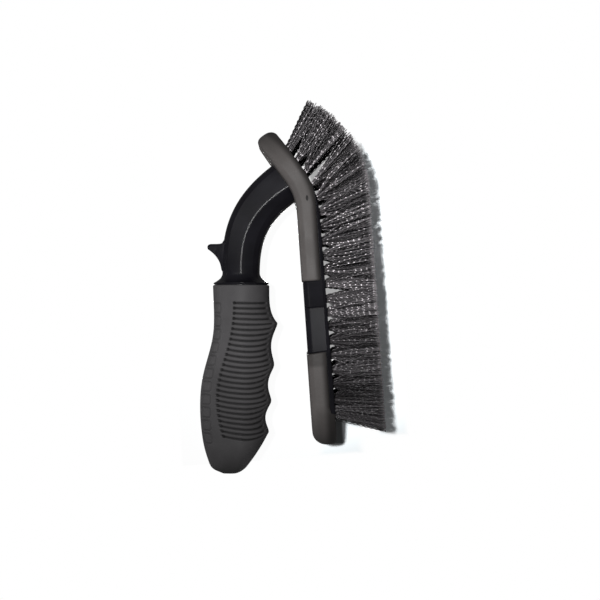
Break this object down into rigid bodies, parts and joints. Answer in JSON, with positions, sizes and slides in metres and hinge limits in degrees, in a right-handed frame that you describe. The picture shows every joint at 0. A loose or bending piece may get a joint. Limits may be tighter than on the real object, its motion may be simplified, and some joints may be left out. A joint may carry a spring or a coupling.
{
  "type": "tire brush",
  "caption": "Tire brush with a turned-up nose, rubber pads over the head, an arched arm with a thumb hook, a ribbed rubber grip and rows of stiff bristles.",
  "frame": {"origin": "middle of the brush's length and width, in the plane of the bristle tips that it stands on", "axes": "+X along the head towards its turned-up nose, +Z from the bristle tips up to the handle, Y across the head"},
  "size_m": [0.2138, 0.0592, 0.1086],
  "materials": {
    "black_plastic": "moulded black polypropylene, half gloss",
    "pad_rubber": "matt grey moulded rubber",
    "grip_rubber": "matt dark grey moulded rubber",
    "bristles": "crimped grey-black filament"
  },
  "bodies": {
    "root": {"brush_body": "black_plastic", "front_pad": "pad_rubber", "rear_pad": "pad_rubber", "grip_sleeve": "grip_rubber", "tuft_row_01": "bristles", "tuft_row_02": "bristles", "tuft_row_03": "bristles", "tuft_row_04": "bristles", "tuft_row_05": "bristles", "tuft_row_06": "bristles", "tuft_row_07": "bristles", "tuft_row_08": "bristles", "tuft_row_09": "bristles", "tuft_row_10": "bristles", "tuft_row_11": "bristles", "tuft_row_12": "bristles", "tuft_row_13": "bristles", "tuft_row_14": "bristles", "tuft_row_15": "bristles", "tuft_row_16": "bristles", "tuft_row_17": "bristles", "tuft_row_18": "bristles", "tuft_row_19": "bristles", "tuft_row_20": "bristles"}
  },
  "joints": []
}
